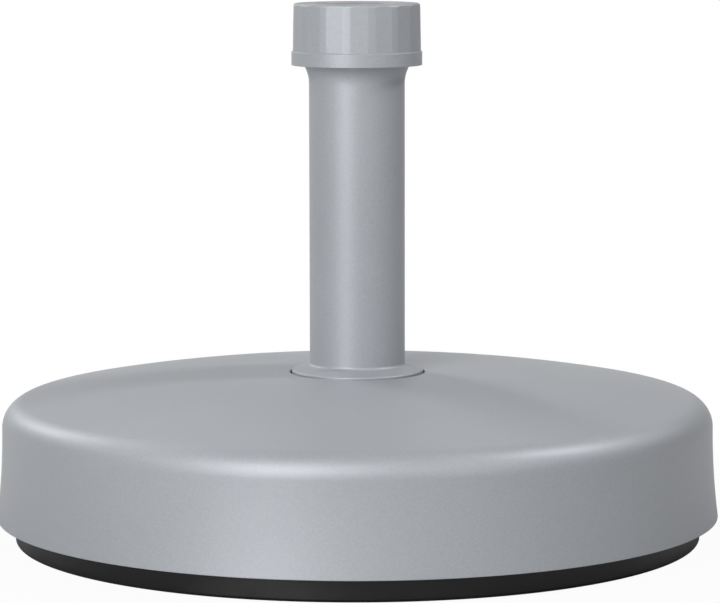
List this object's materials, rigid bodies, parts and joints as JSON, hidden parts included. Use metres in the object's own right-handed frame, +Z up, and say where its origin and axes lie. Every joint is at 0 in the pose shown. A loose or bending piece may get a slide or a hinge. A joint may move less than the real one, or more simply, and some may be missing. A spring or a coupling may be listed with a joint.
{
  "type": "parasol base",
  "caption": "Round weighted parasol base: concrete core in a tray under a moulded hood, with a screw-in tube and a clamp nut that grips the pole.",
  "frame": {"origin": "on the ground, under the middle of the stand", "axes": "+Z up along the tube, -Y towards the viewer of the picture, +X to the right in it"},
  "size_m": [0.4512, 0.4512, 0.334],
  "materials": {
    "silver_plastic": "satin",
    "tube_plastic": "satin",
    "nut_plastic": "satin",
    "collet_plastic": "satin",
    "black_plastic": "matte",
    "socket_plastic": "matte",
    "charcoal_plastic": "matte",
    "concrete": "matte"
  },
  "bodies": {
    "base": {"hood": "silver_plastic", "base_tray": "black_plastic", "ballast": "concrete", "anchor_socket": "socket_plastic"},
    "foot_carrier": {"foot_ring": "charcoal_plastic"},
    "tube": {"stand_tube": "tube_plastic"},
    "clamp_cone": {"collet": "collet_plastic"},
    "nut": {"clamp_nut": "nut_plastic"}
  },
  "joints": [
    {"name": "tube_lift", "type": "slide", "parent": "base", "child": "foot_carrier", "axis": [0, 0, 1], "range_m": [0, 0.024]},
    {"name": "tube_turn", "type": "hinge", "parent": "foot_carrier", "child": "tube", "pos_m": [0, 0, 0.1], "axis": [0, 0, 1], "range_deg": [0, 1440]},
    {"name": "collet_lift", "type": "slide", "parent": "tube", "child": "clamp_cone", "axis": [0, 0, 1], "range_m": [0, 0.024]},
    {"name": "nut_turn", "type": "hinge", "parent": "clamp_cone", "child": "nut", "pos_m": [0, 0, 0.312], "axis": [0, 0, 1], "range_deg": [0, 1440]}
  ],
  "couplings": [
    {"joint": "tube_lift", "follows": "tube_turn", "m_per_rad": 0.00095492},
    {"joint": "collet_lift", "follows": "nut_turn", "m_per_rad": 0.00095492}
  ]
}
